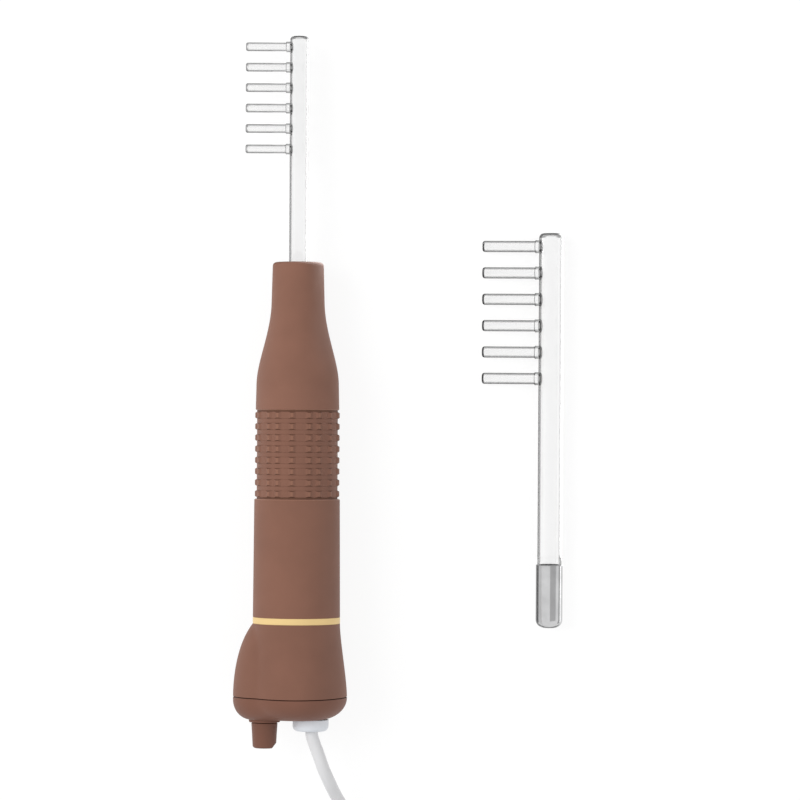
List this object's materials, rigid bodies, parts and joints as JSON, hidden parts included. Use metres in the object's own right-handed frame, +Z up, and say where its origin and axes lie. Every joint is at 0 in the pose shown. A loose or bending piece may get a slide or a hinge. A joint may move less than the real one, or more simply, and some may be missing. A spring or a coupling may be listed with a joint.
{
  "type": "violet ray machine",
  "caption": "Hand-held high-frequency wand with a gripped barrel, a flared base with a regulator knob, a plug-in glass comb electrode, a larger spare comb and a coiled mains lead.",
  "frame": {"origin": "on the table, under the middle of the box round the wand and its spare comb", "axes": "+Y along the wand towards the electrode, +Z up from the table, +X towards the spare comb"},
  "size_m": [0.1775, 0.5194, 0.0511],
  "materials": {
    "body_plastic": "satin soft-touch moulded plastic",
    "cover_plastic": "satin moulded plastic",
    "gold_trim": "satin gold-coloured metal",
    "collar_rubber": "smooth pale grey rubber",
    "cord_sheath": "smooth pale sheath",
    "tie_plastic": "plain moulded plastic",
    "plug_plastic": "plain moulded plastic",
    "clear_glass": "clear thin-walled glass",
    "cap_metal": "satin nickel-plated metal",
    "insulator": "pressed insulating board",
    "brass_parts": "turned brass",
    "copper_winding": "varnished copper wire",
    "steel_parts": "plain steel",
    "capacitor_case": "waxed paper case",
    "wire_sheath": "wire insulation"
  },
  "bodies": {
    "handle": {"neck_housing": "body_plastic", "grip_sleeve": "body_plastic", "barrel_housing": "body_plastic", "trim_ring": "gold_trim", "base_housing": "body_plastic", "base_cover": "cover_plastic", "cover_screws": "steel_parts", "knob_bush": "brass_parts", "strain_relief": "collar_rubber", "inner_lead": "cord_sheath", "cord_clamp": "tie_plastic", "clamp_screws": "steel_parts", "socket_sleeve": "insulator", "contact_cup": "brass_parts", "hv_former": "insulator", "hv_secondary": "copper_winding", "hv_primary": "copper_winding", "capacitor": "capacitor_case", "capacitor_clip": "steel_parts", "chassis_board": "insulator", "interrupter_frame": "steel_parts", "interrupter_core": "steel_parts", "interrupter_coil": "copper_winding", "reed_clamp": "steel_parts", "hookup_wires": "wire_sheath", "cord_lead": "cord_sheath", "cord_coil": "cord_sheath", "cord_tail": "cord_sheath", "cord_tie": "tie_plastic", "plug_body": "plug_plastic", "plug_pins": "brass_parts"},
    "regulator": {"knob": "cover_plastic", "adjusting_screw": "brass_parts"},
    "fitted_electrode": {"electrode_glass": "clear_glass", "electrode_cap": "cap_metal"},
    "spare_electrode": {"spare_glass": "clear_glass", "spare_cap": "cap_metal"},
    "armature": {"reed": "steel_parts"}
  },
  "joints": [
    {"name": "knob_turn", "type": "hinge", "parent": "handle", "child": "regulator", "pos_m": [-0.06682, -0.16369, 0.02585], "axis": [0, 0.9995, -0.0318], "range_deg": [0, 270]},
    {"name": "electrode_pull", "type": "slide", "parent": "handle", "child": "fitted_electrode", "axis": [0, 0.9995, -0.0318], "range_m": [0, 0.036]},
    {"name": "spare_lift", "type": "slide", "parent": "handle", "child": "spare_electrode", "axis": [0, 0, 1], "range_m": [0, 0.1]},
    {"name": "reed_swing", "type": "hinge", "parent": "handle", "child": "armature", "pos_m": [-0.04437, -0.13516, 0.02494], "axis": [0, -0.0318, -0.9995], "range_deg": [0, 1.5], "stiffness_Nm_per_rad": 0.02}
  ]
}
